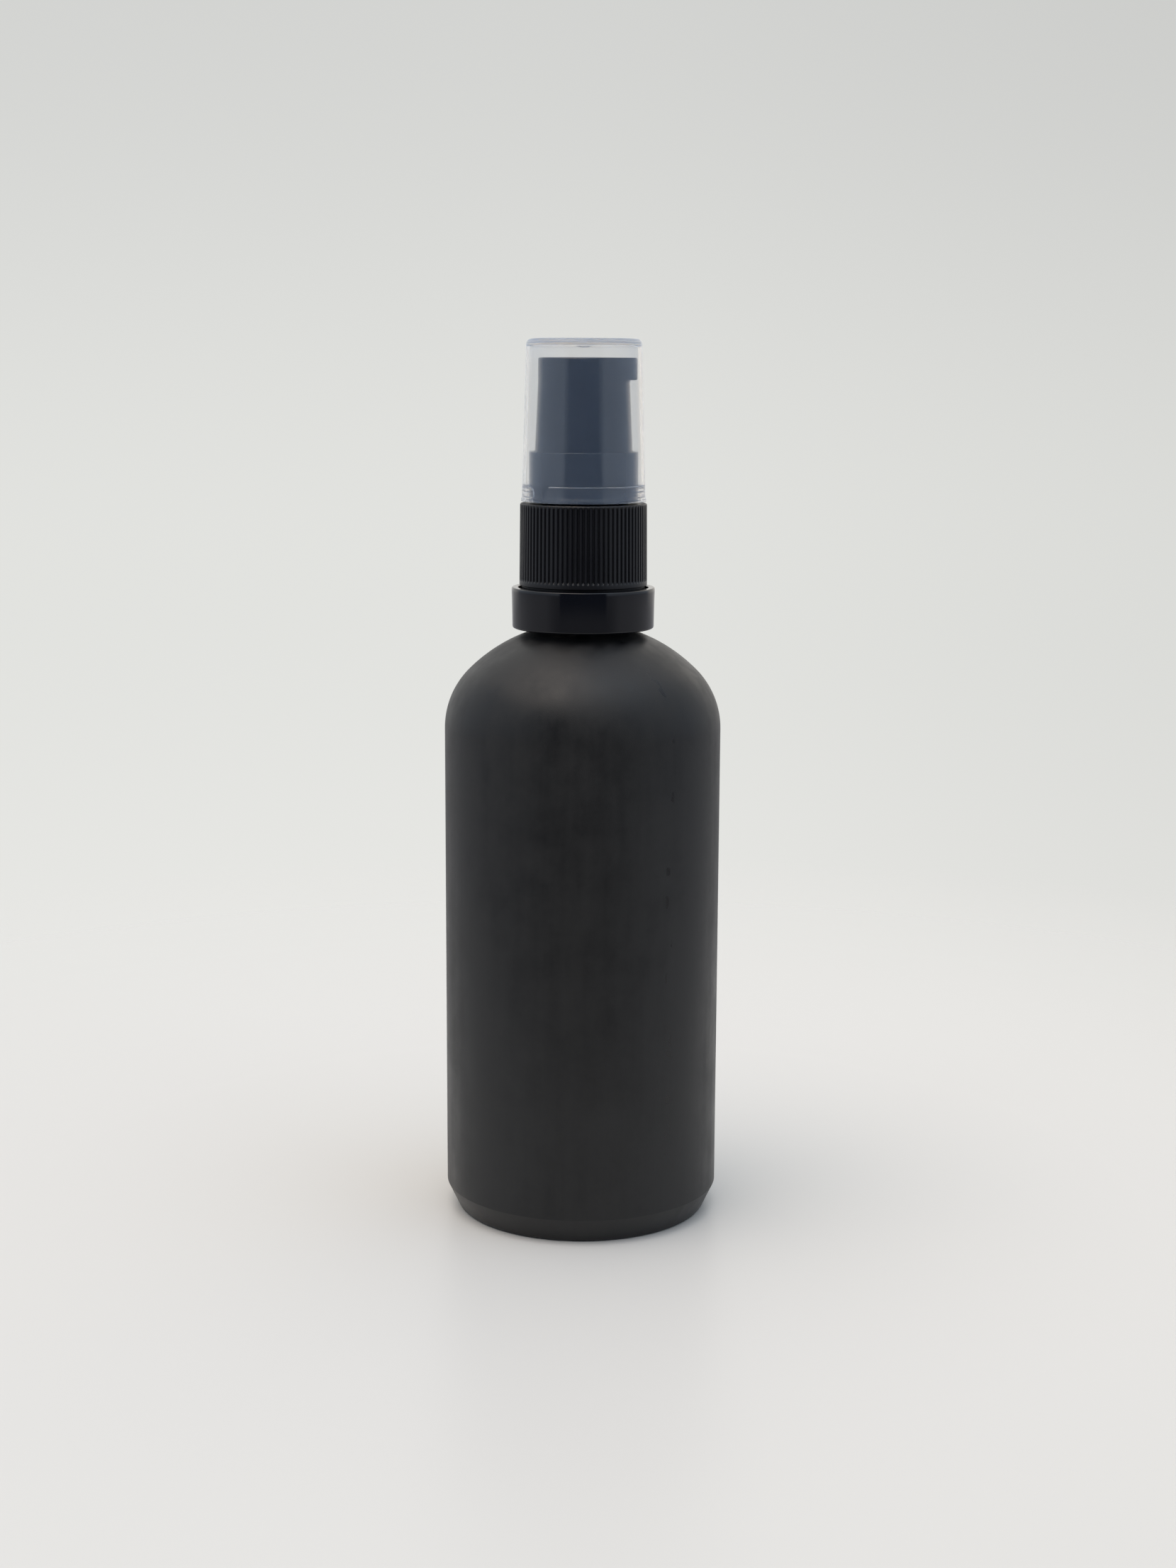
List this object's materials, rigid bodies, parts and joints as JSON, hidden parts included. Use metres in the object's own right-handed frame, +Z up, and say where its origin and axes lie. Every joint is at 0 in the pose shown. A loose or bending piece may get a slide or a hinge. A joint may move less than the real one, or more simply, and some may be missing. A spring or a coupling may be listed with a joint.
{
  "type": "pump bottle",
  "caption": "Tall round coated glass bottle with a screw-on lotion pump, a sideways spout, a tamper-evident ring and a clear overcap.",
  "frame": {"origin": "centre of the flat ring that the bottle stands on", "axes": "+Z up along the axis of the bottle and pump, +X the way the spout points"},
  "size_m": [0.0472, 0.0472, 0.1505],
  "materials": {
    "coated_glass": "matt black coat over the outside of the glass",
    "gloss_black": "polished black moulding",
    "satin_black": "satin black moulding with fine upright ribs",
    "clear_plastic": "clear, slightly milky moulding",
    "natural_plastic": "uncoloured translucent white moulding",
    "soft_seal": "soft pale foamed seal",
    "spring_steel": "bright drawn wire"
  },
  "bodies": {
    "bottle": {"bottle": "coated_glass", "tamper_evident_ring": "gloss_black"},
    "pump": {"pump_housing": "natural_plastic", "chaplet": "natural_plastic", "turret": "gloss_black", "neck_gasket": "soft_seal", "dip_tube": "natural_plastic", "return_spring": "spring_steel"},
    "closure": {"closure": "satin_black"},
    "stem": {"stem": "natural_plastic", "piston_seat": "natural_plastic"},
    "piston": {"piston": "natural_plastic"},
    "inlet_ball": {"inlet_ball": "spring_steel"},
    "actuator": {"actuator": "gloss_black"},
    "overcap": {"overcap": "clear_plastic"}
  },
  "joints": [
    {"name": "pump_lift", "type": "slide", "parent": "bottle", "child": "pump", "axis": [0, 0, 1], "range_m": [0, 0.006]},
    {"name": "closure_turn", "type": "hinge", "parent": "pump", "child": "closure", "pos_m": [0, 0, 0.115], "axis": [0, 0, 1], "range_deg": [0, 720]},
    {"name": "overcap_pull", "type": "slide", "parent": "pump", "child": "overcap", "axis": [0, 0, 1], "range_m": [0, 0.03]},
    {"name": "stem_press", "type": "slide", "parent": "pump", "child": "stem", "axis": [0, 0, -1], "range_m": [0, 0.0038], "stiffness_N_per_m": 1000, "deforming": ["return_spring"]},
    {"name": "actuator_swivel", "type": "hinge", "parent": "stem", "child": "actuator", "pos_m": [0, 0, 0.14], "axis": [0, 0, 1], "continuous": true},
    {"name": "piston_lag", "type": "slide", "parent": "stem", "child": "piston", "axis": [0, 0, 1], "range_m": [0, 0.0008]},
    {"name": "ball_lift", "type": "slide", "parent": "pump", "child": "inlet_ball", "axis": [0, 0, 1], "range_m": [0, 0.001]}
  ],
  "couplings": [
    {"joint": "pump_lift", "follows": "closure_turn", "m_per_rad": 0.00047746}
  ]
}
